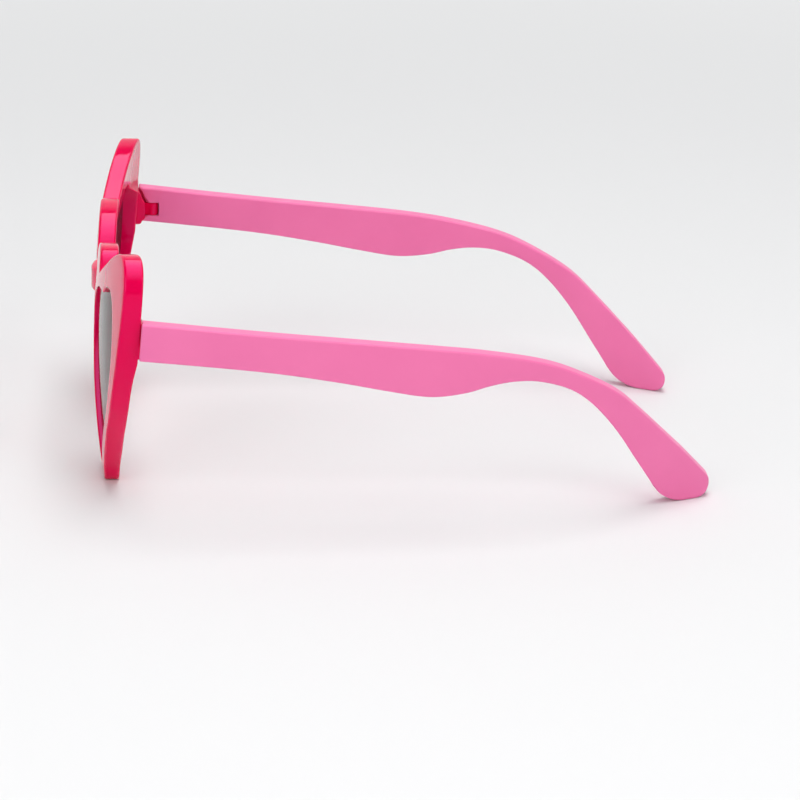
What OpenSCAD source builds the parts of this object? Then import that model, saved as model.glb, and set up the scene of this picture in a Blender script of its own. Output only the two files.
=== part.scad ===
// Heart shaped sunglasses for a child: a moulded front with two heart rims, a lens in each,
// and two curved temples that fold on steel hinge pins.
// The wearer looks along -Y with the wearer's left at +X. The glasses stand on the tips of the
// hearts and of the temples, on Z = 0, and the origin is under the middle of the whole object.

/* [Front] */
// Width of one heart
heart_w = 55.7; // [47:0.1:67]
// Height of one heart, and of the whole front
heart_h = 56.4; // [47:0.1:68]
// Clear width between the two hearts, where the nose goes
nose_gap = 10; // [8:0.5:13]
// Distance from the foremost point of a heart's face back to the front ends of the temples
face_reach = 10.3; // [9:0.1:12.5]
// Radius of the ball that each heart's face follows
face_radius = 211; // [170:1:260]
// Depth of the rims from face to back
rim_depth = 4.1; // [3.6:0.1:4.8]

/* [Rims] */
// Rim width on the side next to the nose
rim_nasal = 5; // [4.2:0.1:6]
// Rim width on the side next to the hinge
rim_outer = 7.6; // [6.5:0.1:9]
// Rim width at the lower tip of the heart
rim_bottom = 4.1; // [3.4:0.1:5]
// Rim width above the lens, at the higher lobe
rim_top = 9.7; // [8:0.1:12]

/* [Bridge and nose pads] */
// Height of the bridge
bridge_h = 5.7; // [4.8:0.1:7]
// How far the bridge bulges forward between the hearts
bridge_bulge = 1.1; // [0.8:0.1:1.4]
// How far the bridge stands forward of the hearts' faces
bridge_proud = 0.7; // [0.4:0.1:1.2]
// How far a nose pad stands behind the rim
pad_rise = 3.4; // [2.5:0.1:4.2]
// Length of a nose pad along the rim
pad_len = 18; // [15:0.5:22]

/* [Lenses] */
// Thickness of a lens
lens_t = 1.5; // [1.2:0.1:1.8]
// How far the lens sits behind the front face
lens_recess = 1; // [0.7:0.1:1.2]
// Depth of the groove that holds the lens edge
groove_depth = 0.9; // [0.7:0.05:1.1]
// Gap between the lens edge and the groove, all round
lens_gap = 0.08; // [0.05:0.01:0.15]

/* [Temples] */
// Length of a temple from its front end to its tip
temple_len = 126; // [105:1:152]
// Thickness of a temple
temple_t = 4; // [3.6:0.1:4.8]
// Height of the straight bar at the hinge
bar_h = 8.2; // [7.4:0.1:9.9]
// Height of the belly, halfway along
belly_h = 10.7; // [9.6:0.1:12.9]
// Height of the waist behind the belly
waist_h = 4.4; // [4:0.1:5.2]
// How far a temple's outer face stands out from the side of the rim
temple_proud = 1.3; // [1:0.1:1.6]
// Angle at which the straight bar leans in towards the head
toe_in = 1.19; // [0:0.1:2.5]
// Share of the temple's length that is straight before it curves in round the head
straight_share = 0.437; // [0.4:0.01:0.5]
// Radius of the curve round the head, at the outer face
head_radius = 153; // [140:1:200]

/* [Hinges] */
// Height of the hinge above the ground, as a share of the heart's height
hinge_height_share = 0.677; // [0.65:0.001:0.7]
// Height of the tongue on the front, which sits between the temple's two ears
tongue_h = 2.9; // [2.4:0.1:3.4]
// Radius of the tongue's round end
knuckle_r = 1.4; // [1.3:0.05:1.5]
// Distance from a temple's front end back to the hinge pin
axis_back = 3.25; // [3:0.05:4]
// Distance from a temple's outer face in to the hinge pin
axis_in = 2.6; // [2.5:0.05:3]
// Radius of the hinge pin
pin_r = 0.6; // [0.5:0.05:0.7]
// Radial gap between the pin and the tongue, in which it turns
pin_running_gap = 0.05; // [0.02:0.01:0.1]
// Radial gap between the pin and the ears that hold it
pin_grip_gap = 0.02; // [0.01:0.01:0.03]
// Gap between the tongue and each ear
ear_gap = 0.15; // [0.1:0.05:0.25]
// Gap between the rim and the front end of an open temple
butt_gap = 0.2; // [0.15:0.05:0.3]

/* [Hidden] */
$fn = 96;
fine = 256;

// Colours
rim_colour = [0.89, 0.0, 0.3];
lens_colour = [0.34, 0.35, 0.35];
temple_colour = [0.96, 0.48, 0.69];
steel_colour = [0.72, 0.73, 0.75];

// Ties between the sizes above
half_gap = nose_gap / 2;
bridge_reach = face_reach + bridge_proud;
seat_y = (bridge_reach - temple_len) / 2;
face_x = half_gap + heart_w + temple_proud;
hinge_z = heart_h * hinge_height_share;
pin_x = face_x - axis_in;
overrun = temple_t;
beyond = heart_w;

// Rim shape. The heart's outline is a chain of curves: each row is a point on the outline, with the
// two handles that lead on to the next point, as shares of the heart's width and height.
curve_steps = 8;
heart_shares = [
    [[0.512, 0.000], [0.545, 0.000], [0.563, 0.046]],
    [[0.590, 0.075], [0.650, 0.140], [0.765, 0.258]],
    [[0.847, 0.365], [0.890, 0.422], [0.959, 0.560]],
    [[0.975, 0.638], [0.986, 0.691], [1.000, 0.748]],
    [[1.000, 0.816], [1.000, 0.908], [0.959, 1.000]],
    [[0.873, 1.000], [0.801, 1.000], [0.700, 0.949]],
    [[0.601, 0.901], [0.539, 0.871], [0.476, 0.846]],
    [[0.424, 0.821], [0.404, 0.810], [0.388, 0.806]],
    [[0.377, 0.826], [0.366, 0.850], [0.345, 0.885]],
    [[0.280, 0.885], [0.150, 0.885], [0.000, 0.802]],
    [[0.000, 0.684], [0.000, 0.488], [0.206, 0.257]],
    [[0.368, 0.092], [0.422, 0.037], [0.454, 0.000]]
];
// The lens opening's outline, in the same form, as shares of the opening's own width and height
opening_shares = [
    [[0.524, 0.000], [0.560, 0.000], [0.584, 0.052]],
    [[0.610, 0.085], [0.672, 0.155], [0.826, 0.298]],
    [[0.896, 0.415], [0.951, 0.509], [1.000, 0.631]],
    [[1.000, 0.735], [1.000, 0.871], [0.942, 1.000]],
    [[0.831, 1.000], [0.770, 1.000], [0.710, 0.984]],
    [[0.664, 0.951], [0.643, 0.937], [0.622, 0.923]],
    [[0.585, 0.923], [0.499, 0.923], [0.371, 0.899]],
    [[0.232, 0.843], [0.104, 0.791], [0.000, 0.739]],
    [[0.000, 0.631], [0.000, 0.502], [0.278, 0.244]],
    [[0.422, 0.082], [0.464, 0.035], [0.485, 0.000]]
];
opening_w = heart_w - rim_nasal - rim_outer;
opening_h = heart_h - rim_bottom - rim_top;
ball_across_share = 0.162;
ball_height_share = 0.491;
ball_x = half_gap + heart_w * ball_across_share;
ball_z = heart_h * ball_height_share;
// The rim's back is trimmed behind the heart's tip, so that the tip is thinner. Each row is a place
// in front of the temple's front end, as a share of the face's reach, and a share of the height.
trim_shares = [
    [0, 0], [0.415, 0], [0.400, 0.071], [0.364, 0.142], [0.320, 0.248], [0.205, 0.390], [0, 0.390]
];

// Bridge and nose pads
bridge_height_share = 0.663;
bridge_z = heart_h * bridge_height_share;
bridge_root_share = 0.25;
bridge_root = rim_nasal * bridge_root_share;
bridge_front_r = (half_gap * half_gap + bridge_bulge * bridge_bulge) / (2 * bridge_bulge);
bridge_back_share = 1.5;
bridge_back_r = bridge_front_r * bridge_back_share;
bridge_depth_share = 0.86;
bridge_depth = rim_depth * bridge_depth_share;
pad_row_number = 10;
pad_point_share = 0.35;
pad_ahead_share = 0.4;
pad_radius = (pad_len * pad_len / 4 + pad_rise * pad_rise) / (2 * pad_rise);

// Hinge block on the back of the rim. Its side view is given as [back, up] steps from the tongue's
// middle height at the temple's front end. The block is the thicker stretch of rim that the temple
// butts against, and the lug stands on it and tapers to the tongue.
end_lean = 0.5;
block_w = 9;
block_root = 3;
block_top = 7.7;
block_rise = 5.9;
block_drop = 4.2;
block_tail = 14;
block_tail_depth = 2.6;
lug_w = 4.7;
lug_reach = 1.5;
lug_rise = 4.9;
lug_drop = 3;
lug_top_shares = [[-1.00, 1.00], [-0.20, 1.00], [0.20, 0.86], [0.53, 0.60], [1.00, 0.35]];
lug_foot_shares = [[1.00, 0.49], [0.60, 0.70], [0.30, 0.95], [-0.20, 1.00], [-1.00, 1.00]];
lug_edge = pin_x + pin_r / 2;
skin_gap = 0.15;
tongue_w_share = 0.8;
pin_recess = 0.3;
pin_bite = 2.2;

// Temple side view. The top edge is given as shares of the temple's length and of its height at
// the front end, the lower edge as heights below the top edge, then as shares down the tail.
bar_rise = 5.4;
bar_top = hinge_z + bar_rise;
edge_steps = 4;
toe_steps = 11;
heel_steps = 8;
top_shares = [
    [0.000, 1.000], [0.206, 0.947], [0.381, 0.908], [0.508, 0.878], [0.595, 0.848],
    [0.683, 0.798], [0.746, 0.731], [0.817, 0.621], [0.865, 0.501], [0.946, 0.269]
];
depths = [
    [-end_lean / temple_len, bar_h],
    [0.206, bar_h],
    [0.333, between(bar_h, belly_h, 0.38)],
    [0.421, between(bar_h, belly_h, 0.8)],
    [0.492, belly_h],
    [0.551, between(waist_h, belly_h, 0.76)],
    [0.595, between(waist_h, belly_h, 0.42)],
    [0.637, between(waist_h, belly_h, 0.13)],
    [0.683, waist_h]
];
tail_shares = [[0.737, 0.646], [0.779, 0.556], [0.821, 0.416], [0.860, 0.248], [0.885, 0.140]];
toe_r = 3.1;
heel_r = 9;
heel_back_share = 0.955;
toe_start = 42;
heel_end = 213;
head_sweep = 40;

function between(a, b, share) = a + (b - a) * share;
// Where the temple's leaning front end stands, up above the tongue's middle height
function end_y(up) = end_lean * (hinge_z + up - bar_top) / bar_h;
function bezier(a, b, c, d, t) =
    pow(1 - t, 3) * a + 3 * pow(1 - t, 2) * t * b + 3 * (1 - t) * pow(t, 2) * c + pow(t, 3) * d;
function chain(rows) = [
    for (i = [0 : len(rows) - 1])
        let (row = rows[i], next = rows[(i + 1) % len(rows)][0])
        for (s = [0 : curve_steps - 1])
            bezier(row[0], row[1], row[2], next, s / curve_steps)
];
function placed(points, corner, size) = [
    for (p = points) [corner[0] + p[0] * size[0], corner[1] + p[1] * size[1]]
];
// Each point moved outwards by d, square to the line between its two neighbours
function grown(points, d) = [
    for (i = [0 : len(points) - 1])
        let (n = len(points), t = points[(i + 1) % n] - points[(i + n - 1) % n])
        points[i] + d * [t[1], -t[0]] / norm(t)
];
function catmull(a, b, c, d, t) =
    0.5 * (2 * b + (c - a) * t + (2 * a - 5 * b + 4 * c - d) * pow(t, 2)
        + (3 * b - a - 3 * c + d) * pow(t, 3));
// A smooth line through the knots
function smooth(knots) = let (n = len(knots)) [
    for (i = [0 : n - 2], s = [0 : edge_steps - 1])
        catmull(knots[max(i - 1, 0)], knots[i], knots[i + 1], knots[min(i + 2, n - 1)],
            s / edge_steps),
    knots[n - 1]
];
function arc(centre, r, from, to, steps) = [
    for (s = [0 : steps])
        let (a = between(from, to, s / steps)) centre + r * [cos(a), sin(a)]
];
function reversed(list) = [for (i = [len(list) - 1 : -1 : 0]) list[i]];

heart = placed(chain(heart_shares), [half_gap, 0], [heart_w, heart_h]);
opening = placed(chain(opening_shares), [half_gap + rim_nasal, rim_bottom], [opening_w, opening_h]);
pad_row = placed(concat(heart_shares[pad_row_number], [heart_shares[pad_row_number + 1][0]]),
    [half_gap, 0], [heart_w, heart_h]);
pad_point = bezier(pad_row[0], pad_row[1], pad_row[2], pad_row[3], pad_point_share);
pad_ahead = bezier(pad_row[0], pad_row[1], pad_row[2], pad_row[3], pad_ahead_share);
pad_lean = atan2(pad_ahead[0] - pad_point[0], pad_point[1] - pad_ahead[1]);

top_edge = smooth([for (k = top_shares) [k[0] * temple_len, k[1] * bar_top]]);
lower_edge = smooth(concat(
    [for (k = depths) [k[0] * temple_len, lookup(k[0], top_shares) * bar_top - k[1]]],
    [for (k = tail_shares) [k[0] * temple_len, k[1] * bar_top]]
));
toe_arc = arc([temple_len - toe_r, toe_r], toe_r, toe_start, -90, toe_steps);
heel_arc = arc([temple_len * heel_back_share, heel_r], heel_r, -90, heel_end - 360, heel_steps);
temple_side = concat(top_edge, toe_arc, heel_arc, reversed(lower_edge));

module both_sides() {
    children();
    mirror([1, 0, 0]) children();
}

// A front view outline of [x, z] points, made solid from well in front to well behind the rims
module front_prism(points) {
    rotate([90, 0, 0]) linear_extrude(height = beyond, center = true) polygon(points);
}

// A side view outline of [y, z] points, made solid from x = from to x = to
module side_prism(points, from, to) {
    translate([from, 0, 0]) rotate([90, 0, 90]) linear_extrude(height = to - from) polygon(points);
}

// The ball that the left heart's face follows, made smaller by depth for what lies behind it
module face_ball(depth) {
    translate([ball_x, face_radius - face_reach, ball_z])
        sphere(r = face_radius - depth, $fn = fine);
}

module rim() {
    difference() {
        intersection() {
            front_prism(heart);
            face_ball(0);
        }
        face_ball(rim_depth);
        side_prism([for (p = trim_shares) [-p[0] * face_reach, p[1] * heart_h]], 0, face_x);
        // Where the temple butts against it, the rim stops short of the temple's front end
        side_prism([
            [end_y(bar_rise) - butt_gap, hinge_z + bar_rise + butt_gap],
            [overrun, hinge_z + bar_rise + butt_gap],
            [overrun, hinge_z + bar_rise - bar_h - butt_gap],
            [end_y(bar_rise - bar_h) - butt_gap, hinge_z + bar_rise - bar_h - butt_gap]
        ], face_x - block_w, face_x);
    }
}

// The bridge is bowed, so that it bulges forward between the hearts
module bridge() {
    reach = half_gap + bridge_root;
    intersection() {
        translate([-reach, -bridge_reach, bridge_z - bridge_h / 2])
            cube([2 * reach, bridge_reach, bridge_h]);
        difference() {
            translate([0, bridge_front_r - bridge_reach, 0])
                cylinder(r = bridge_front_r, h = heart_h);
            translate([0, bridge_back_r + bridge_depth - bridge_reach, 0])
                cylinder(r = bridge_back_r, h = heart_h);
        }
    }
}

// A rounded pad on the back of the rim beside the nose
module nose_pad() {
    intersection() {
        difference() {
            front_prism(heart);
            front_prism(opening);
        }
        translate([pad_point[0], rim_depth + pad_rise - pad_radius - face_reach, pad_point[1]])
            rotate([0, 90 - pad_lean, 0])
                cylinder(r = pad_radius, h = 2 * rim_nasal + half_gap, center = true);
        face_ball(lens_recess);
    }
}

// The rim's thicker stretch that the temple butts against, which dies away down the rim
module hinge_block() {
    intersection() {
        front_prism(heart);
        side_prism([
            [-block_root, hinge_z + block_top],
            [end_y(block_rise) - butt_gap, hinge_z + block_rise],
            [end_y(-block_drop) - butt_gap, hinge_z - block_drop],
            [-block_tail_depth, hinge_z - block_tail],
            [-block_root, hinge_z - block_tail]
        ], face_x - block_w, face_x);
        face_ball(lens_recess);
    }
}

// The lug stands on the block and tapers to the tongue, which the temple's two ears hold
module hinge_tongue() {
    side_prism([
        for (p = lug_top_shares) [p[0] * lug_reach, hinge_z + p[1] * lug_rise],
        for (p = lug_foot_shares) [p[0] * lug_reach, hinge_z - p[1] * lug_drop]
    ], lug_edge - lug_w, lug_edge);
    translate([pin_x, axis_back, hinge_z]) {
        cylinder(r = knuckle_r, h = tongue_h, center = true);
        translate([-knuckle_r * tongue_w_share, -axis_back, -tongue_h / 2])
            cube([2 * knuckle_r * tongue_w_share, axis_back, tongue_h]);
    }
}

module front_frame() {
    color(rim_colour) translate([0, seat_y, 0]) difference() {
        union() {
            bridge();
            both_sides() {
                rim();
                nose_pad();
                hinge_block();
                hinge_tongue();
            }
        }
        both_sides() {
            front_prism(opening);
            difference() {
                intersection() {
                    front_prism(grown(opening, groove_depth));
                    face_ball(lens_recess - lens_gap);
                }
                face_ball(lens_recess + lens_t + lens_gap);
            }
            translate([pin_x, axis_back, hinge_z])
                cylinder(r = pin_r + pin_running_gap, h = 2 * tongue_h, center = true);
        }
    }
}

module lens() {
    translate([0, seat_y, 0]) difference() {
        intersection() {
            front_prism(grown(opening, groove_depth - lens_gap));
            face_ball(lens_recess);
        }
        face_ball(lens_recess + lens_t);
    }
}

module left_lens() {
    color(lens_colour) lens();
}

module right_lens() {
    color(lens_colour) mirror([1, 0, 0]) lens();
}

// The temple from above: a straight bar that leans in, then an arc round the head
module temple_plan() {
    straight = temple_len * straight_share;
    translate([face_x, 0]) rotate(toe_in) {
        translate([-temple_t, -overrun]) square([temple_t, straight + overrun]);
        translate([-head_radius, straight]) intersection() {
            difference() {
                circle(r = head_radius, $fn = fine);
                circle(r = head_radius - temple_t, $fn = fine);
            }
            polygon([[0, 0], [2 * head_radius, 0],
                2 * head_radius * [cos(head_sweep), sin(head_sweep)]]);
        }
    }
}

// What the two ears fill in front of the pin: they are round about it, and clear the lug by the skin
// gap as they turn
module ears() {
    translate([pin_x, axis_back, hinge_z]) rotate_extrude() polygon([
        [0, heart_h],
        [axis_back, heart_h],
        for (p = lug_top_shares)
            [min(axis_back, axis_back - p[0] * lug_reach - skin_gap), p[1] * lug_rise + skin_gap],
        for (p = lug_foot_shares)
            [min(axis_back, axis_back - p[0] * lug_reach - skin_gap), -p[1] * lug_drop - skin_gap],
        [axis_back, -heart_h],
        [0, -heart_h]
    ]);
}

module temple() {
    slot_x = pin_x + knuckle_r + skin_gap;
    translate([0, seat_y, 0]) difference() {
        intersection() {
            side_prism(temple_side, 0, face_x + overrun);
            translate([0, 0, -overrun]) linear_extrude(height = heart_h + 2 * overrun) temple_plan();
        }
        // Slot for the tongue, open at the front end and on the inner face
        translate([0, -overrun, hinge_z - tongue_h / 2 - ear_gap])
            cube([slot_x, overrun + axis_back + knuckle_r + skin_gap, tongue_h + 2 * ear_gap]);
        difference() {
            translate([0, -overrun, 0]) cube([slot_x, overrun + axis_back, heart_h]);
            ears();
        }
        // Hole for the pin, blind in the upper ear
        translate([pin_x, axis_back, 0])
            cylinder(r = pin_r + pin_grip_gap, h = hinge_z + tongue_h / 2 + ear_gap + pin_bite);
    }
}

module left_temple() {
    color(temple_colour) temple();
}

module right_temple() {
    color(temple_colour) mirror([1, 0, 0]) temple();
}

// A plain steel pin, pressed in from below
module hinge_pin() {
    pin_foot = bar_top - bar_h + pin_recess;
    pin_head = hinge_z + tongue_h / 2 + ear_gap + pin_bite - pin_grip_gap;
    translate([pin_x, seat_y + axis_back, pin_foot]) cylinder(r = pin_r, h = pin_head - pin_foot);
}

module left_hinge_pin() {
    color(steel_colour) hinge_pin();
}

module right_hinge_pin() {
    color(steel_colour) mirror([1, 0, 0]) hinge_pin();
}

front_frame();
left_lens();
right_lens();
left_temple();
right_temple();
left_hinge_pin();
right_hinge_pin();
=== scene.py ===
import math

import bmesh
import bpy
import numpy as np
from mathutils import Matrix, Vector


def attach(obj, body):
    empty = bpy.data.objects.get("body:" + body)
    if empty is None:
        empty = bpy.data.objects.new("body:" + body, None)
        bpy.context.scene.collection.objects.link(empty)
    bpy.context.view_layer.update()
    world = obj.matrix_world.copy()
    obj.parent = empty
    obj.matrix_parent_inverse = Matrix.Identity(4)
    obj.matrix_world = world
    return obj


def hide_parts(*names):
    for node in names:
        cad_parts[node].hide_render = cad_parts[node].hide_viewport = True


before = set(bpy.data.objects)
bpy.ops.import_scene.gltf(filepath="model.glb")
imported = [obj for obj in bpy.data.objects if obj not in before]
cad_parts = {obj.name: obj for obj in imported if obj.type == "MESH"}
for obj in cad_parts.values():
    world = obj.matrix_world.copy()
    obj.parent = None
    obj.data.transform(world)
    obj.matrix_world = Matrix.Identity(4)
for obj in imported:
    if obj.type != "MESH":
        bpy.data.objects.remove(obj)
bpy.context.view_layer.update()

MM = 0.001

# Sizes in millimetres, as in the CAD source. Y here counts back from the temples' front ends.
HEART_W = 55.7
HEART_H = 56.4
HALF_GAP = 5.0
FACE_REACH = 10.3
FACE_RADIUS = 211.0
RIM_DEPTH = 4.1
RIM_NASAL = 5.0
RIM_OUTER = 7.6
RIM_BOTTOM = 4.1
RIM_TOP = 9.7
BRIDGE_H = 5.7
BRIDGE_BULGE = 1.1
BRIDGE_PROUD = 0.7
PAD_RISE = 3.4
PAD_LEN = 18.0
LENS_T = 1.5
LENS_RECESS = 1.0
TEMPLE_LEN = 126.0
TEMPLE_T = 4.0
BAR_H = 8.2
BELLY_H = 10.7
WAIST_H = 4.4
TEMPLE_PROUD = 1.3
TOE_IN = math.radians(1.19)
STRAIGHT = TEMPLE_LEN * 0.437
HEAD_RADIUS = 153.0
HINGE_Z = HEART_H * 0.677
TONGUE_H = 2.9
KNUCKLE_R = 1.4
AXIS_BACK = 3.25
AXIS_IN = 2.6
EAR_GAP = 0.15
BUTT_GAP = 0.2
SKIN_GAP = 0.15
PIN_R = 0.6
BRIDGE_REACH = FACE_REACH + BRIDGE_PROUD
SEAT_Y = (BRIDGE_REACH - TEMPLE_LEN) / 2
FACE_X = HALF_GAP + HEART_W + TEMPLE_PROUD
PIN_X = FACE_X - AXIS_IN
BALL_X = HALF_GAP + HEART_W * 0.162
BALL_Z = HEART_H * 0.491
BALL_Y = FACE_RADIUS - FACE_REACH
BRIDGE_Z = HEART_H * 0.663
BRIDGE_R = (HALF_GAP ** 2 + BRIDGE_BULGE ** 2) / (2 * BRIDGE_BULGE)
BRIDGE_DEPTH = RIM_DEPTH * 0.86
END_LEAN = 0.5
LUG_W = 4.7
LUG_REACH = 1.5
LUG_RISE = 4.9
LUG_DROP = 3.0
LUG_EDGE = PIN_X + 0.3
BAR_TOP = HINGE_Z + 5.4

# Roundings and small looks that the CAD leaves out, in millimetres
EDGE = 0.5
INNER_EDGE = 0.35
BACK_EDGE = 0.55
BUTT_EDGE = 0.15
BRIDGE_EDGE = 0.9
LUG_BEVEL = 0.3
TONGUE_BEVEL = 0.12
EAR_BEVEL = 0.22
PAD_FADE = 2.5
PAD_SPARE = 3.0
LENS_TUCK = 0.45
SIDE_EDGE = 0.55
FRONT_END_EDGE = 0.3
TIP_EDGE = 1.0
TIP_LEN = 12.0
TOE_R = 3.1
HEEL_R = 9.0
HAIR = 0.001

HEART_SHARES = [
    [[0.512, 0.000], [0.545, 0.000], [0.563, 0.046]],
    [[0.590, 0.075], [0.650, 0.140], [0.765, 0.258]],
    [[0.847, 0.365], [0.890, 0.422], [0.959, 0.560]],
    [[0.975, 0.638], [0.986, 0.691], [1.000, 0.748]],
    [[1.000, 0.816], [1.000, 0.908], [0.959, 1.000]],
    [[0.873, 1.000], [0.801, 1.000], [0.700, 0.949]],
    [[0.601, 0.901], [0.539, 0.871], [0.476, 0.846]],
    [[0.424, 0.821], [0.404, 0.810], [0.388, 0.806]],
    [[0.377, 0.826], [0.366, 0.850], [0.345, 0.885]],
    [[0.280, 0.885], [0.150, 0.885], [0.000, 0.802]],
    [[0.000, 0.684], [0.000, 0.488], [0.206, 0.257]],
    [[0.368, 0.092], [0.422, 0.037], [0.454, 0.000]],
]
OPENING_SHARES = [
    [[0.524, 0.000], [0.560, 0.000], [0.584, 0.052]],
    [[0.610, 0.085], [0.672, 0.155], [0.826, 0.298]],
    [[0.896, 0.415], [0.951, 0.509], [1.000, 0.631]],
    [[1.000, 0.735], [1.000, 0.871], [0.942, 1.000]],
    [[0.831, 1.000], [0.770, 1.000], [0.710, 0.984]],
    [[0.664, 0.951], [0.643, 0.937], [0.622, 0.923]],
    [[0.585, 0.923], [0.499, 0.923], [0.371, 0.899]],
    [[0.232, 0.843], [0.104, 0.791], [0.000, 0.739]],
    [[0.000, 0.631], [0.000, 0.502], [0.278, 0.244]],
    [[0.422, 0.082], [0.464, 0.035], [0.485, 0.000]],
]
TRIM = [[-0.415, 0.0], [-0.400, 0.071], [-0.364, 0.142], [-0.320, 0.248], [-0.205, 0.390]]
LUG_TOP = [[-1.00, 1.00], [-0.20, 1.00], [0.20, 0.86], [0.53, 0.60], [1.00, 0.35]]
LUG_FOOT = [[1.00, 0.49], [0.60, 0.70], [0.30, 0.95], [-0.20, 1.00], [-1.00, 1.00]]
TOP_SHARES = [
    [0.000, 1.000], [0.206, 0.947], [0.381, 0.908], [0.508, 0.878], [0.595, 0.848],
    [0.683, 0.798], [0.746, 0.731], [0.817, 0.621], [0.865, 0.501], [0.946, 0.269],
]


def between(a, b, share):
    return a + (b - a) * share


# Camera: the photograph's viewing angle, distance and framing
FOCAL_PX = 4262.7
FRAME_PX = 800
SENSOR_MM = 36
AZIMUTH = math.radians(85.804)
ELEVATION = math.radians(16.819)
ROLL = math.radians(1.871)
DISTANCE = 0.9766
TARGET = Vector((0.0, 0.00235, 0.0088))


def make_camera():
    """A camera at its distance from the target, turned about its own axis by the roll."""
    back = Vector((math.sin(AZIMUTH) * math.cos(ELEVATION), -math.cos(AZIMUTH) * math.cos(ELEVATION),
                   math.sin(ELEVATION)))
    right = (-back).cross(Vector((0, 0, 1))).normalized()
    up = right.cross(-back).normalized()
    across = math.cos(ROLL) * right + math.sin(ROLL) * up
    above = -math.sin(ROLL) * right + math.cos(ROLL) * up
    data = bpy.data.cameras.new("camera")
    data.sensor_fit = "HORIZONTAL"
    data.sensor_width = SENSOR_MM
    data.lens = FOCAL_PX / FRAME_PX * SENSOR_MM
    data.clip_start = 0.05
    data.clip_end = 30
    camera = bpy.data.objects.new("camera", data)
    bpy.context.scene.collection.objects.link(camera)
    turn = Matrix((across, above, back)).transposed().to_4x4()
    camera.matrix_world = Matrix.Translation(TARGET + back * DISTANCE) @ turn
    bpy.context.scene.camera = camera


make_camera()


# Outlines
def bezier(row, t):
    a, b, c, d = row
    return (1 - t) ** 3 * a + 3 * (1 - t) ** 2 * t * b + 3 * (1 - t) * t * t * c + t ** 3 * d


def chain(rows, steps):
    points = []
    for i, row in enumerate(rows):
        whole = [np.array(p) for p in (*row, rows[(i + 1) % len(rows)][0])]
        points += [bezier(whole, s / steps) for s in range(steps)]
    return np.array(points)


def placed(points, corner, size):
    return np.array(corner) + points * np.array(size)


def normals(points):
    t = np.roll(points, -1, 0) - np.roll(points, 1, 0)
    n = np.stack([t[:, 1], -t[:, 0]], 1)
    return n / np.linalg.norm(n, axis=1)[:, None]


def smoothed(values, rounds):
    for _ in range(rounds):
        values = (np.roll(values, 1, 0) + 2 * values + np.roll(values, -1, 0)) / 4
    return values


def by_angle(points, centre, angles):
    """The points where rays from the centre, at these rising angles, cross a closed outline."""
    v = points - centre
    a = np.unwrap(np.arctan2(v[:, 1], v[:, 0]))
    if a[-1] < a[0]:
        a, v = a[::-1], v[::-1]
    r = np.linalg.norm(v, axis=1)
    a3 = np.concatenate([a - 2 * math.pi, a, a + 2 * math.pi])
    r3 = np.concatenate([r, r, r])
    radius = np.interp(angles, a3, r3)
    return centre + radius[:, None] * np.stack([np.cos(angles), np.sin(angles)], 1)


# Steps to each curve, and the least turn in radians between two rays
STEPS = 20
LEAST_TURN = 0.006

# A point from which each ray crosses both outlines once
CENTRE = np.array([31.5, 27.0])
heart_raw = placed(chain(HEART_SHARES, STEPS), [HALF_GAP, 0], [HEART_W, HEART_H])
opening_raw = placed(chain(OPENING_SHARES, STEPS), [HALF_GAP + RIM_NASAL, RIM_BOTTOM],
                     [HEART_W - RIM_NASAL - RIM_OUTER, HEART_H - RIM_BOTTOM - RIM_TOP])


def angles_of(points):
    v = points - CENTRE
    return np.mod(np.arctan2(v[:, 1], v[:, 0]), 2 * math.pi)


def merged_angles():
    a = np.sort(np.concatenate([angles_of(heart_raw), angles_of(opening_raw)]))
    keep = [a[0]]
    for x in a[1:]:
        if x - keep[-1] > LEAST_TURN:
            keep.append(x)
    return np.array(keep)


ANGLES = merged_angles()
HEART = by_angle(heart_raw, CENTRE, ANGLES)
OPENING = by_angle(opening_raw, CENTRE, ANGLES)
HEART_N = smoothed(normals(HEART), 2)
OPENING_N = smoothed(normals(OPENING), 2)
HEART_N /= np.linalg.norm(HEART_N, axis=1)[:, None]
OPENING_N /= np.linalg.norm(OPENING_N, axis=1)[:, None]


def ball_y(xz, depth):
    d2 = (xz[:, 0] - BALL_X) ** 2 + (xz[:, 1] - BALL_Z) ** 2
    return BALL_Y - np.sqrt((FACE_RADIUS - depth) ** 2 - d2)


def soft_max(a, b, k):
    """The greater of two heights, with the crease between them rounded over k."""
    h = np.clip(0.5 + 0.5 * (a - b) / k, 0, 1)
    return b + (a - b) * h + k * h * (1 - h)


# The nose pad sits on the outline's curve beside the nose
pad_row = placed(np.array([*HEART_SHARES[10], HEART_SHARES[11][0]]), [HALF_GAP, 0], [HEART_W, HEART_H])
PAD_POINT = bezier(pad_row, 0.35)
PAD_LINE = (bezier(pad_row, 0.4) - PAD_POINT) / np.linalg.norm(bezier(pad_row, 0.4) - PAD_POINT)
PAD_SIDE = np.array([-PAD_LINE[1], PAD_LINE[0]])
PAD_RADIUS = (PAD_LEN ** 2 / 4 + PAD_RISE ** 2) / (2 * PAD_RISE)
PAD_HALF = RIM_NASAL + HALF_GAP / 2
PAD_CREASE = 0.6

# The hinge block's height above the hinge and how far back it reaches there
BLOCK = [[-14.0, -2.6], [-4.2, END_LEAN * (HINGE_Z - 4.2 - BAR_TOP) / BAR_H - BUTT_GAP],
         [5.9, END_LEAN * (HINGE_Z + 5.9 - BAR_TOP) / BAR_H - BUTT_GAP], [7.7, -3.0]]
BLOCK_FROM_X = 44
BLOCK_CREASE = 0.25
TRIM_CREASE = 0.15


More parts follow.
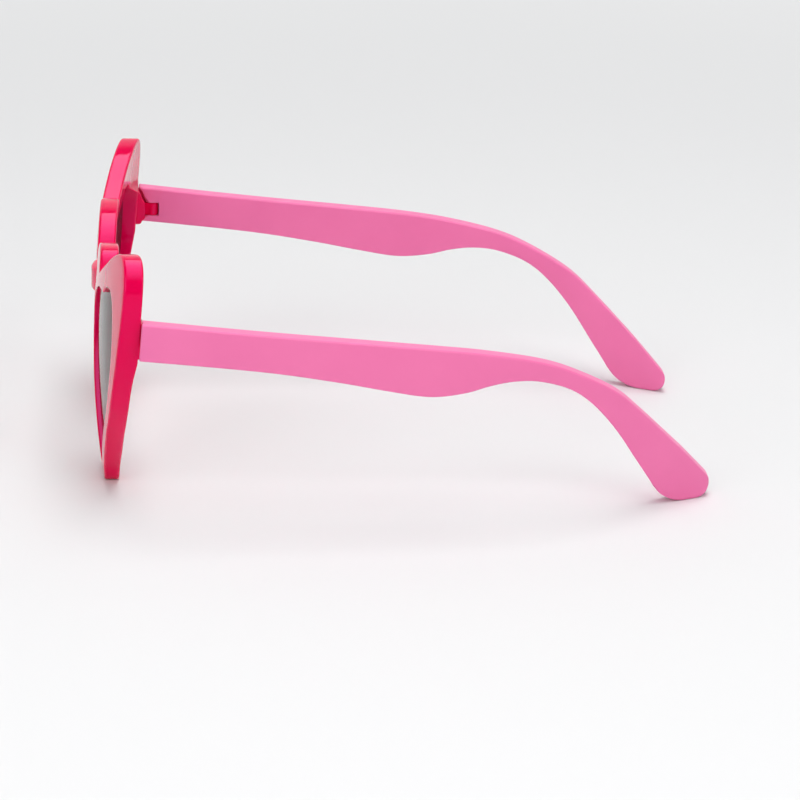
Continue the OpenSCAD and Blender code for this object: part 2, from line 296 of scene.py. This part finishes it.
def back_y(xz):
    """The back of the rim: the ball behind the face, the nose pad, the hinge block and the thinner tip."""
    y = ball_y(xz, RIM_DEPTH)
    along = (xz - PAD_POINT) @ PAD_LINE
    across = np.abs((xz - PAD_POINT) @ PAD_SIDE)
    pad = (RIM_DEPTH + PAD_RISE - PAD_RADIUS - FACE_REACH
           + np.sqrt(np.maximum(PAD_RADIUS ** 2 - along ** 2, 0)))
    fade = np.clip((PAD_HALF - across) / PAD_FADE, 0, 1) * (np.abs(along) < PAD_LEN / 2 + PAD_SPARE)
    y = y + (soft_max(y, pad, PAD_CREASE) - y) * fade * fade * (3 - 2 * fade)
    block = np.interp(xz[:, 1] - HINGE_Z, [b[0] for b in BLOCK], [b[1] for b in BLOCK], left=-9, right=-9)
    y = np.where(xz[:, 0] > BLOCK_FROM_X, soft_max(y, block, BLOCK_CREASE), y)
    trim = np.interp(xz[:, 1], [t[1] * HEART_H for t in TRIM], [t[0] * FACE_REACH for t in TRIM], right=9)
    return -soft_max(-y, -trim, TRIM_CREASE)


# Meshes
def new_mesh(name, points, faces):
    mesh = bpy.data.meshes.new(name)
    placed_points = [(p[0] * MM, (p[1] + SEAT_Y) * MM, p[2] * MM) for p in points]
    mesh.from_pydata(placed_points, [], [tuple(int(i) for i in f) for f in faces])
    mesh.validate()
    return mesh


def new_object(name, mesh):
    obj = bpy.data.objects.new(name, mesh)
    bpy.context.scene.collection.objects.link(obj)
    return obj


def loft(name, rings, closed_rings=True, caps=False):
    """Quads between rings of as many points each; closed_rings joins the last ring to the first."""
    n = len(rings[0])
    points = np.concatenate(rings)
    faces = []
    count = len(rings)
    for j in range(count if closed_rings else count - 1):
        k = (j + 1) % count
        for i in range(n):
            faces.append((j * n + i, j * n + (i + 1) % n, k * n + (i + 1) % n, k * n + i))
    if caps:
        faces.append(tuple(range(n))[::-1])
        faces.append(tuple((count - 1) * n + i for i in range(n)))
    return new_mesh(name, points, faces)


def tidy(mesh, angle, merge=0.002):
    b = bmesh.new()
    b.from_mesh(mesh)
    bmesh.ops.remove_doubles(b, verts=b.verts, dist=merge * MM)
    bmesh.ops.recalc_face_normals(b, faces=b.faces)
    for f in b.faces:
        f.smooth = True
    b.to_mesh(mesh)
    b.free()
    mesh.set_sharp_from_angle(angle=math.radians(angle))
    return mesh


def with_y(xz, y):
    return np.stack([xz[:, 0], y, xz[:, 1]], 1)


def rim_mesh():
    """One closed skin: the face, the opening's wall, the back and the outer wall, with rounded edges between."""
    rings = []
    quarter = [math.radians(a) for a in (0, 15, 30, 45, 60, 75, 90)]
    for a in quarter:
        xz = HEART - HEART_N * EDGE * (1 - math.cos(a))
        rings.append(with_y(xz, ball_y(xz, EDGE * (1 - math.sin(a)))))
    outer = HEART - HEART_N * EDGE
    inner = OPENING + OPENING_N * INNER_EDGE
    for s in np.linspace(0, 1, 8)[1:]:
        xz = between(outer, inner, s)
        rings.append(with_y(xz, ball_y(xz, 0)))
    for a in reversed(quarter[:-1]):
        xz = OPENING + OPENING_N * INNER_EDGE * (1 - math.cos(a))
        rings.append(with_y(xz, ball_y(xz, INNER_EDGE * (1 - math.sin(a)))))
    front = ball_y(OPENING, INNER_EDGE)
    rear = back_y(OPENING) - BACK_EDGE
    for s in (0.33, 0.67, 1.0):
        rings.append(with_y(OPENING, between(front, rear, s)))
    for a in quarter[1:]:
        xz = OPENING + OPENING_N * BACK_EDGE * (1 - math.cos(a))
        rings.append(with_y(xz, back_y(xz) - BACK_EDGE * (1 - math.sin(a))))
    # The edge is sharper where the temple butts against it, 9 mm either way, and eases over 3 mm
    butt = np.clip((9.0 - np.abs(HEART[:, 1] - HINGE_Z - 1.0)) / 3, 0, 1) * (HEART[:, 0] > 50)
    edge = between(BACK_EDGE, BUTT_EDGE, butt)
    inner = OPENING + OPENING_N * BACK_EDGE
    outer = HEART - HEART_N * edge[:, None]
    for s in np.linspace(0, 1, 9)[1:]:
        xz = between(inner, outer, s)
        rings.append(with_y(xz, back_y(xz)))
    for a in reversed(quarter[:-1]):
        xz = HEART - HEART_N * edge[:, None] * (1 - math.cos(a))
        rings.append(with_y(xz, back_y(xz) - edge * (1 - math.sin(a))))
    front = ball_y(HEART, EDGE)
    rear = back_y(HEART) - edge
    for s in (0.75, 0.5, 0.25):
        rings.append(with_y(HEART, between(front, rear, s)))
    return tidy(loft("rim", rings), 40)


def mirrored(mesh, name):
    other = mesh.copy()
    other.name = name
    other.transform(Matrix.Scale(-1, 4, (1, 0, 0)))
    other.flip_normals()
    return other


def rounded_section(y0, y1, z0, z1, r, steps=6):
    """Points round a rectangle with rounded corners, in the plane across X."""
    r = min(r, (y1 - y0) / 2 * 0.98, (z1 - z0) / 2 * 0.98)
    points = []
    corners = ((y1 - r, z1 - r, 0), (y0 + r, z1 - r, 90), (y0 + r, z0 + r, 180), (y1 - r, z0 + r, 270))
    for cy, cz, start in corners:
        for s in range(steps + 1):
            a = math.radians(start + 90 * s / steps)
            points.append((cy + r * math.cos(a), cz + r * math.sin(a)))
    return points


def bridge_mesh():
    """A bowed bar whose ends run into both rims, with a flatter curve at its back."""
    reach = HALF_GAP + RIM_NASAL * 0.25
    back_r = BRIDGE_R * 1.5
    rings = []
    for x in np.linspace(-reach, reach, 41):
        y0 = BRIDGE_R - BRIDGE_REACH + HAIR - math.sqrt(BRIDGE_R ** 2 - x * x)
        y1 = back_r + BRIDGE_DEPTH - BRIDGE_REACH - math.sqrt(back_r ** 2 - x * x)
        section = rounded_section(y0, y1, BRIDGE_Z - BRIDGE_H / 2, BRIDGE_Z + BRIDGE_H / 2, BRIDGE_EDGE)
        rings.append(np.array([(x, y, z) for y, z in section]))
    return tidy(loft("bridge", rings, closed_rings=False, caps=True), 40)


def prism(name, outline, low, high, axis, bevel):
    """An outline made solid along an axis, with its sharp edges rounded."""
    b = bmesh.new()
    ends = []
    for at in (low, high):
        ring = []
        for p, q in outline:
            x, y, z = (at, p, q) if axis == "x" else (p, q, at)
            ring.append(b.verts.new((x * MM, (y + SEAT_Y) * MM, z * MM)))
        ends.append(ring)
    n = len(outline)
    b.faces.new(ends[0])
    b.faces.new(ends[1][::-1])
    for i in range(n):
        k = (i + 1) % n
        b.faces.new((ends[0][i], ends[1][i], ends[1][k], ends[0][k]))
    bmesh.ops.recalc_face_normals(b, faces=b.faces)
    if bevel:
        sharp = [e for e in b.edges if e.calc_face_angle(0) > math.radians(40)]
        bmesh.ops.bevel(b, geom=sharp, offset=bevel * MM, segments=3, profile=0.5, affect="EDGES",
                        clamp_overlap=True)
    mesh = bpy.data.meshes.new(name)
    b.to_mesh(mesh)
    b.free()
    return tidy(mesh, 35, merge=0.0005)


def smooth_line(knots, steps):
    knots = [np.array(k, float) for k in knots]
    n = len(knots)
    points = []
    for i in range(n - 1):
        a, b, c, d = knots[max(i - 1, 0)], knots[i], knots[i + 1], knots[min(i + 2, n - 1)]
        for s in range(steps):
            t = s / steps
            points.append(0.5 * (2 * b + (c - a) * t + (2 * a - 5 * b + 4 * c - d) * t ** 2
                                 + (3 * b - a - 3 * c + d) * t ** 3))
    points.append(knots[-1])
    return np.array(points)


def lathe(name, profile, centre, steps=96):
    """A closed solid from a profile of (radius, height) points about an upright axis."""
    rings = []
    for r, z in profile:
        a = np.linspace(0, 2 * math.pi, steps, endpoint=False)
        rings.append(np.stack([centre[0] + r * np.cos(a), centre[1] + r * np.sin(a), np.full(steps, z)], 1))
    return tidy(loft(name, rings, closed_rings=False, caps=True), 40)


def cut(obj, cutter, mode="DIFFERENCE"):
    modifier = obj.modifiers.new("cut", "BOOLEAN")
    modifier.operation = mode
    modifier.solver = "EXACT"
    modifier.object = cutter
    bpy.context.view_layer.update()
    graph = bpy.context.evaluated_depsgraph_get()
    mesh = bpy.data.meshes.new_from_object(obj.evaluated_get(graph))
    obj.modifiers.clear()
    obj.data = mesh
    bpy.data.objects.remove(cutter)


def box_object(name, low, high):
    outline = [(low[1], low[2]), (high[1], low[2]), (high[1], high[2]), (low[1], high[2])]
    return new_object(name, prism(name, outline, low[0], high[0], "x", 0))


def rod_object(name, radius, low, high, steps=48):
    profile = [(radius, low), (radius, high)]
    return new_object(name, lathe(name, profile, (PIN_X, AXIS_BACK), steps))


def lug_mesh():
    side = [(p[0] * LUG_REACH, HINGE_Z + p[1] * LUG_RISE) for p in smooth_line(LUG_TOP, 4)]
    side += [(p[0] * LUG_REACH, HINGE_Z - p[1] * LUG_DROP) for p in smooth_line(LUG_FOOT, 4)]
    return prism("lug", side, LUG_EDGE - LUG_W, LUG_EDGE, "x", LUG_BEVEL)


def tongue_mesh():
    """The tongue in plan: a bar with a round end, and a hole for the pin."""
    half = KNUCKLE_R * 0.8
    start = math.degrees(math.asin(0.8))
    plan = [(PIN_X - half, 0.0)]
    for s in range(33):
        a = math.radians(270 - start - (360 - 2 * start) * s / 32)
        plan.append((PIN_X + KNUCKLE_R * math.cos(a), AXIS_BACK + KNUCKLE_R * math.sin(a)))
    plan.append((PIN_X + half, 0.0))
    mesh = prism("tongue", plan, HINGE_Z - TONGUE_H / 2, HINGE_Z + TONGUE_H / 2, "z", TONGUE_BEVEL)
    obj = new_object("tongue", mesh)
    cut(obj, rod_object("tongue_hole", PIN_R + 0.05, HINGE_Z - TONGUE_H, HINGE_Z + TONGUE_H))
    mesh = obj.data
    bpy.data.objects.remove(obj)
    return mesh


def joined(name, meshes):
    b = bmesh.new()
    for m in meshes:
        b.from_mesh(m)
    mesh = bpy.data.meshes.new(name)
    b.to_mesh(mesh)
    b.free()
    mesh.set_sharp_from_angle(angle=math.radians(38))
    return mesh


def lens_mesh():
    """A sheet between two balls, as rings about its middle on its front and on its back."""
    outline = OPENING + OPENING_N * LENS_TUCK
    centre = np.array([33.0, 27.0])
    count = len(outline)
    rows = 14
    points = []
    for depth in (LENS_RECESS, LENS_RECESS + LENS_T):
        for s in np.linspace(1, 0.04, rows):
            xz = centre + (outline - centre) * s
            points += [tuple(p) for p in with_y(xz, ball_y(xz, depth))]
    faces = []
    for side in range(2):
        base = side * rows * count
        for j in range(rows - 1):
            for i in range(count):
                faces.append((base + j * count + i, base + j * count + (i + 1) % count,
                              base + (j + 1) * count + (i + 1) % count, base + (j + 1) * count + i))
        faces.append(tuple(base + (rows - 1) * count + i for i in range(count)))
    for i in range(count):
        k = (i + 1) % count
        faces.append((i, k, rows * count + k, rows * count + i))
    return tidy(new_mesh("lens", points, faces), 40)


# Temple
def arc(middle, radius, start, stop, count):
    """Points on a circle that stands on the floor, seen from the side, between two angles in degrees."""
    return [(middle + radius * math.cos(a), radius + radius * math.sin(a))
            for a in np.radians(np.linspace(start, stop, count))]


def plan_tables():
    """The temple's outer and inner sides from above: straight, then bent round the head, and toed in."""
    outer, inner = [], []
    for r, table in ((0.0, outer), (TEMPLE_T, inner)):
        for s in np.linspace(-6, STRAIGHT, 20):
            table.append((-r, s))
        for a in np.linspace(0, math.radians(40), 120)[1:]:
            table.append((-HEAD_RADIUS + (HEAD_RADIUS - r) * math.cos(a),
                          STRAIGHT + (HEAD_RADIUS - r) * math.sin(a)))
    turn = np.array([[math.cos(TOE_IN), -math.sin(TOE_IN)], [math.sin(TOE_IN), math.cos(TOE_IN)]])
    return [np.array(t) @ turn.T + np.array([FACE_X, 0]) for t in (outer, inner)]


PLAN_OUT, PLAN_IN = plan_tables()


def side_tables():
    """The temple's upper and lower edges from the side."""
    top_x = [k[0] for k in TOP_SHARES]
    top_z = [k[1] for k in TOP_SHARES]
    depths = [
        [-END_LEAN / TEMPLE_LEN, BAR_H], [0.206, BAR_H], [0.333, between(BAR_H, BELLY_H, 0.38)],
        [0.421, between(BAR_H, BELLY_H, 0.8)], [0.492, BELLY_H], [0.551, between(WAIST_H, BELLY_H, 0.76)],
        [0.595, between(WAIST_H, BELLY_H, 0.42)], [0.637, between(WAIST_H, BELLY_H, 0.13)], [0.683, WAIST_H],
    ]
    tail = [[0.737, 0.646], [0.779, 0.556], [0.821, 0.416], [0.860, 0.248], [0.885, 0.140]]
    top = smooth_line([(k[0] * TEMPLE_LEN, k[1] * BAR_TOP) for k in TOP_SHARES], 10)
    low = smooth_line(
        [(k[0] * TEMPLE_LEN, np.interp(k[0], top_x, top_z) * BAR_TOP - k[1]) for k in depths]
        + [(k[0] * TEMPLE_LEN, k[1] * BAR_TOP) for k in tail], 10)
    toe = arc(TEMPLE_LEN - TOE_R, TOE_R, 42, 0, 14)
    under = arc(TEMPLE_LEN - TOE_R, TOE_R, -90, 0, 24)
    heel = arc(TEMPLE_LEN * 0.955, HEEL_R, 213, 270, 20)
    upper = np.array([*top, *toe])
    lower = np.array([*low, *heel, *under])
    return upper, lower


UPPER, LOWER = side_tables()


def temple_mesh():
    """The whole moulding before the hinge is cut, as upright rounded sections along it."""
    end = TEMPLE_LEN - 0.02
    stations = []
    for a in np.radians(np.linspace(0, 90, 6)):
        stations.append((FRONT_END_EDGE * (1 - math.cos(a)), FRONT_END_EDGE * (1 - math.sin(a))))
    for y in np.arange(1.5, end - TIP_LEN, 1.25):
        stations.append((y, 0.0))
    for a in np.radians(np.linspace(0, 89.5, 26)):
        stations.append((end - TIP_LEN * (1 - math.sin(a)), 0.0))
    rings = []
    for y, inset in stations:
        top = np.interp(y, UPPER[:, 0], UPPER[:, 1]) - inset
        low = np.interp(y, LOWER[:, 0], LOWER[:, 1]) + inset
        into = y - (end - TIP_EDGE)
        side = inset + (TIP_EDGE - math.sqrt(max(TIP_EDGE * TIP_EDGE - into * into, 0)) if into > 0 else 0)
        width = TEMPLE_T - 2 * side
        rounding = min(SIDE_EDGE, width / 2, (top - low) / 2)
        section = rounded_section(side, side + width, low, top, rounding)
        ring = []
        for w, z in section:
            lean = END_LEAN * (z - BAR_TOP) / BAR_H * max(0.0, 1 - y / 8)
            yy = y + lean
            x_out = np.interp(yy, PLAN_OUT[:, 1], PLAN_OUT[:, 0])
            x_in = np.interp(yy, PLAN_IN[:, 1], PLAN_IN[:, 0])
            ring.append((between(x_out, x_in, w / TEMPLE_T), yy, z))
        rings.append(np.array(ring))
    return tidy(loft("temple", rings, closed_rings=False, caps=True), 40)


def soften(mesh, back, width):
    """Rounds the sharp edges that the cuts left round the ears."""
    b = bmesh.new()
    b.from_mesh(mesh)
    bmesh.ops.remove_doubles(b, verts=b.verts, dist=0.01 * MM)
    limit = (back + SEAT_Y) * MM
    sharp = [e for e in b.edges
             if len(e.link_faces) == 2 and e.calc_face_angle(0) > math.radians(35)
             and all(v.co.y < limit for v in e.verts)]
    bmesh.ops.bevel(b, geom=sharp, offset=width * MM, segments=3, profile=0.5, affect="EDGES",
                    clamp_overlap=True)
    b.to_mesh(mesh)
    b.free()


def hinged_temple():
    """The moulding with room for the lug and the tongue, which leaves two ears, and the pin's hole."""
    obj = new_object("left_temple_moulding", temple_mesh())
    slot_x = PIN_X + KNUCKLE_R + SKIN_GAP
    profile = [(AXIS_BACK, 30.0)]
    for p in LUG_FOOT[::-1]:
        profile.append((min(AXIS_BACK, AXIS_BACK - p[0] * LUG_REACH - SKIN_GAP),
                        HINGE_Z - p[1] * LUG_DROP - SKIN_GAP))
    for p in LUG_TOP[::-1]:
        profile.append((min(AXIS_BACK, AXIS_BACK - p[0] * LUG_REACH - SKIN_GAP),
                        HINGE_Z + p[1] * LUG_RISE + SKIN_GAP))
    profile.append((AXIS_BACK, 50.0))
    room = box_object("room", (40, -4, 20), (slot_x, AXIS_BACK, 54))
    ears = new_object("ears", lathe("ears", profile, (PIN_X, AXIS_BACK)))
    cut(room, ears)
    cut(obj, room)
    half = TONGUE_H / 2 + EAR_GAP
    cut(obj, box_object("slot", (40, -4, HINGE_Z - half),
                        (slot_x, AXIS_BACK + KNUCKLE_R + SKIN_GAP, HINGE_Z + half)))
    soften(obj.data, AXIS_BACK + 3, EAR_BEVEL)
    cut(obj, rod_object("pin_hole", PIN_R + 0.02, 20, HINGE_Z + half + 2.2))
    tidy(obj.data, 32, merge=0.0005)
    return obj


# Materials
def material(name):
    m = bpy.data.materials.new(name)
    m.use_nodes = True
    nodes = m.node_tree.nodes
    return m, nodes, m.node_tree.links, nodes["Principled BSDF"]


def noise(nodes, links, coord, scale, detail, roughness=0.5):
    n = nodes.new("ShaderNodeTexNoise")
    n.inputs["Scale"].default_value = scale
    n.inputs["Detail"].default_value = detail
    n.inputs["Roughness"].default_value = roughness
    links.new(coord.outputs["Object"], n.inputs["Vector"])
    return n


def ramp(nodes, links, source, stops):
    r = nodes.new("ShaderNodeValToRGB")
    elements = r.color_ramp.elements
    while len(elements) < len(stops):
        elements.new(0.5)
    for e, (at, colour) in zip(elements, stops):
        e.position = at
        e.color = (*colour, 1)
    links.new(source, r.inputs["Fac"])
    return r


def bumped(nodes, links, source, shader, strength, distance):
    b = nodes.new("ShaderNodeBump")
    b.inputs["Strength"].default_value = strength
    b.inputs["Distance"].default_value = distance
    links.new(source, b.inputs["Height"])
    links.new(b.outputs["Normal"], shader.inputs["Normal"])
    return b


def moulded_plastic(name, dark, light, rough, specular, tint, grain, grain_scale):
    """Plastic with a faint cloud in its colour and a fine grain in its roughness and its surface."""
    m, nodes, links, shader = material(name)
    coord = nodes.new("ShaderNodeTexCoord")
    cloud = noise(nodes, links, coord, 55, 3)
    colour = ramp(nodes, links, cloud.outputs["Fac"], [(0.35, dark), (0.65, light)])
    links.new(colour.outputs["Color"], shader.inputs["Base Color"])
    fine = noise(nodes, links, coord, grain_scale, 4, 0.6)
    spread = nodes.new("ShaderNodeMapRange")
    spread.inputs["From Min"].default_value = 0.3
    spread.inputs["From Max"].default_value = 0.7
    spread.inputs["To Min"].default_value = rough[0]
    spread.inputs["To Max"].default_value = rough[1]
    links.new(fine.outputs["Fac"], spread.inputs["Value"])
    links.new(spread.outputs["Result"], shader.inputs["Roughness"])
    bumped(nodes, links, fine.outputs["Fac"], shader, grain, 0.0001)
    shader.inputs["IOR"].default_value = 1.5
    shader.inputs["Specular IOR Level"].default_value = specular
    shader.inputs["Specular Tint"].default_value = (*tint, 1)
    return m


def steel():
    m, nodes, links, shader = material("pin_steel")
    coord = nodes.new("ShaderNodeTexCoord")
    fine = noise(nodes, links, coord, 2500, 2)
    colour = ramp(nodes, links, fine.outputs["Fac"], [(0.3, (0.5, 0.51, 0.53)), (0.7, (0.68, 0.69, 0.71))])
    links.new(colour.outputs["Color"], shader.inputs["Base Color"])
    shader.inputs["Metallic"].default_value = 1
    shader.inputs["Roughness"].default_value = 0.28
    bumped(nodes, links, fine.outputs["Fac"], shader, 0.15, 0.00005)
    return m


def tinted_lens():
    """Grey see-through plastic, whose low IOR keeps its sheen at a grazing view as dim as in the photograph."""
    m, nodes, links, shader = material("lens")
    coord = nodes.new("ShaderNodeTexCoord")
    cloud = noise(nodes, links, coord, 40, 2)
    colour = ramp(nodes, links, cloud.outputs["Fac"], [(0.3, (0.19, 0.195, 0.19)), (0.7, (0.22, 0.225, 0.22))])
    links.new(colour.outputs["Color"], shader.inputs["Base Color"])
    shader.inputs["Roughness"].default_value = 0.05
    shader.inputs["IOR"].default_value = 1.08
    shader.inputs["Transmission Weight"].default_value = 0.9
    return m


front_plastic = moulded_plastic(
    "front_plastic", dark=(0.76, 0.0, 0.060), light=(0.80, 0.0, 0.068), rough=(0.05, 0.08), specular=0.44,
    tint=(1.0, 0.25, 0.85), grain=0.012, grain_scale=900)
temple_plastic = moulded_plastic(
    "temple_plastic", dark=(0.88, 0.165, 0.405), light=(0.91, 0.18, 0.425), rough=(0.38, 0.46), specular=0.5,
    tint=(1.0, 1.0, 1.0), grain=0.10, grain_scale=2600)
lens_material = tinted_lens()
steel_material = steel()


def finished(obj, mat, body, slot, *nodes):
    obj.data.materials.clear()
    obj.data.materials.append(mat)
    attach(obj, body)
    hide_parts(*nodes)


left_half = [rim_mesh(), lug_mesh(), tongue_mesh()]
right_half = [mirrored(m, m.name + "_right") for m in left_half]
front = new_object("front_moulding", joined("front_moulding", [*left_half, *right_half, bridge_mesh()]))
finished(front, front_plastic, "front", "front_plastic", "front_frame")

left_lens = new_object("left_lens_sheet", lens_mesh())
finished(left_lens, lens_material, "front", "lens", "left_lens")
right_lens = new_object("right_lens_sheet", mirrored(left_lens.data, "right_lens_sheet"))
finished(right_lens, lens_material, "front", "lens", "right_lens")

left_temple = hinged_temple()
right_temple = new_object("right_temple_moulding", mirrored(left_temple.data, "right_temple_moulding"))
finished(left_temple, temple_plastic, "left_arm", "temple_plastic", "left_temple")
finished(right_temple, temple_plastic, "right_arm", "temple_plastic", "right_temple")

for name in ("left_hinge_pin", "right_hinge_pin"):
    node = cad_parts[name]
    node.data.materials.clear()
    node.data.materials.append(steel_material)


# Floor, world and lamps
PALE = (0.84, 0.845, 0.85)
FLOOR = (0.78, 0.782, 0.785)
DIM = (0.12, 0.12, 0.125)


def background_ray(nodes, links):
    """One for rays from the camera and those mirrored or let through, none for the rest."""
    path = nodes.new("ShaderNodeLightPath")
    total = path.outputs["Is Camera Ray"]
    for name in ("Is Glossy Ray", "Is Transmission Ray"):
        add = nodes.new("ShaderNodeMath")
        add.operation = "MAXIMUM"
        links.new(total, add.inputs[0])
        links.new(path.outputs[name], add.inputs[1])
        total = add.outputs["Value"]
    return total


def make_floor():
    """A pale floor, which away from the object fades into the plain background."""
    size = 6.0
    mesh = bpy.data.meshes.new("floor")
    corners = [(-size, -size, 0), (size, -size, 0), (size, size, 0), (-size, size, 0)]
    mesh.from_pydata(corners, [], [(0, 1, 2, 3)])
    floor = new_object("floor", mesh)
    m, nodes, links, shader = material("floor")
    coord = nodes.new("ShaderNodeTexCoord")
    cloud = noise(nodes, links, coord, 3, 2)
    colour = ramp(nodes, links, cloud.outputs["Fac"], [(0.3, FLOOR), (0.7, tuple(c + 0.008 for c in FLOOR))])
    links.new(colour.outputs["Color"], shader.inputs["Base Color"])
    shader.inputs["Roughness"].default_value = 0.6
    shader.inputs["Specular IOR Level"].default_value = 0.1
    length = nodes.new("ShaderNodeVectorMath")
    length.operation = "LENGTH"
    links.new(coord.outputs["Object"], length.inputs[0])
    away = nodes.new("ShaderNodeMapRange")
    away.interpolation_type = "SMOOTHSTEP"
    away.inputs["From Min"].default_value = 0.14
    away.inputs["From Max"].default_value = 0.7
    links.new(length.outputs["Value"], away.inputs["Value"])
    share = nodes.new("ShaderNodeMath")
    share.operation = "MULTIPLY"
    links.new(away.outputs["Result"], share.inputs[0])
    links.new(background_ray(nodes, links), share.inputs[1])
    plain = nodes.new("ShaderNodeEmission")
    plain.inputs["Color"].default_value = (*PALE, 1)
    plain.inputs["Strength"].default_value = 1.0
    mix = nodes.new("ShaderNodeMixShader")
    links.new(share.outputs["Value"], mix.inputs["Fac"])
    links.new(shader.outputs["BSDF"], mix.inputs[1])
    links.new(plain.outputs["Emission"], mix.inputs[2])
    links.new(mix.outputs["Shader"], nodes["Material Output"].inputs["Surface"])
    mesh.materials.append(m)


def make_world():
    """A pale sheet on the far side of the object that rises to about 45 degrees, and a dim room elsewhere."""
    world = bpy.data.worlds.new("world")
    bpy.context.scene.world = world
    world.use_nodes = True
    nodes, links = world.node_tree.nodes, world.node_tree.links
    background = nodes["Background"]
    coord = nodes.new("ShaderNodeTexCoord")
    height = nodes.new("ShaderNodeVectorMath")
    height.operation = "DOT_PRODUCT"
    height.inputs[1].default_value = (0.5, 0.0, 1.0)
    links.new(coord.outputs["Generated"], height.inputs[0])
    room = ramp(nodes, links, height.outputs["Value"], [(0.36, PALE), (0.50, DIM)])
    split = nodes.new("ShaderNodeSeparateXYZ")
    links.new(coord.outputs["Generated"], split.inputs["Vector"])
    level = nodes.new("ShaderNodeMapRange")
    level.inputs["From Min"].default_value = 0.15
    level.inputs["From Max"].default_value = 0.22
    level.inputs["To Min"].default_value = 1
    level.inputs["To Max"].default_value = 0
    links.new(split.outputs["Z"], level.inputs["Value"])
    share = nodes.new("ShaderNodeMath")
    share.operation = "MULTIPLY"
    links.new(level.outputs["Result"], share.inputs[0])
    links.new(background_ray(nodes, links), share.inputs[1])
    plain = nodes.new("ShaderNodeBackground")
    plain.inputs["Color"].default_value = (*PALE, 1)
    mix = nodes.new("ShaderNodeMixShader")
    links.new(room.outputs["Color"], background.inputs["Color"])
    links.new(share.outputs["Value"], mix.inputs["Fac"])
    links.new(background.outputs["Background"], mix.inputs[1])
    links.new(plain.outputs["Background"], mix.inputs[2])
    links.new(mix.outputs["Shader"], nodes["World Output"].inputs["Surface"])


def make_lamp(name, place, aim, size, energy, spread=180):
    """A soft box; its first size runs along the room's X where it hangs overhead."""
    data = bpy.data.lights.new(name, "AREA")
    data.shape = "RECTANGLE"
    data.size = size[0]
    data.size_y = size[1]
    data.energy = energy
    data.spread = math.radians(spread)
    lamp = bpy.data.objects.new(name, data)
    bpy.context.scene.collection.objects.link(lamp)
    back = (Vector(place) - Vector(aim)).normalized()
    right = Vector((0, 1, 0)).cross(back).normalized()
    turn = Matrix((right, back.cross(right), back)).transposed().to_4x4()
    lamp.matrix_world = Matrix.Translation(place) @ turn


make_floor()
make_world()
make_lamp("overhead", (0.605, 0.05, 1.296), (0.744, 0.05, 0.306), size=(2.6, 0.6), energy=10.2, spread=120)
make_lamp("side_back", (1.1, 0.8, 0.75), (0, 0, 0.03), size=(0.8, 0.8), energy=4.8)
make_lamp("side_front", (1.1, -0.8, 0.75), (0, 0, 0.03), size=(0.8, 0.8), energy=6.0)

bpy.context.scene.view_settings.view_transform = "Standard"
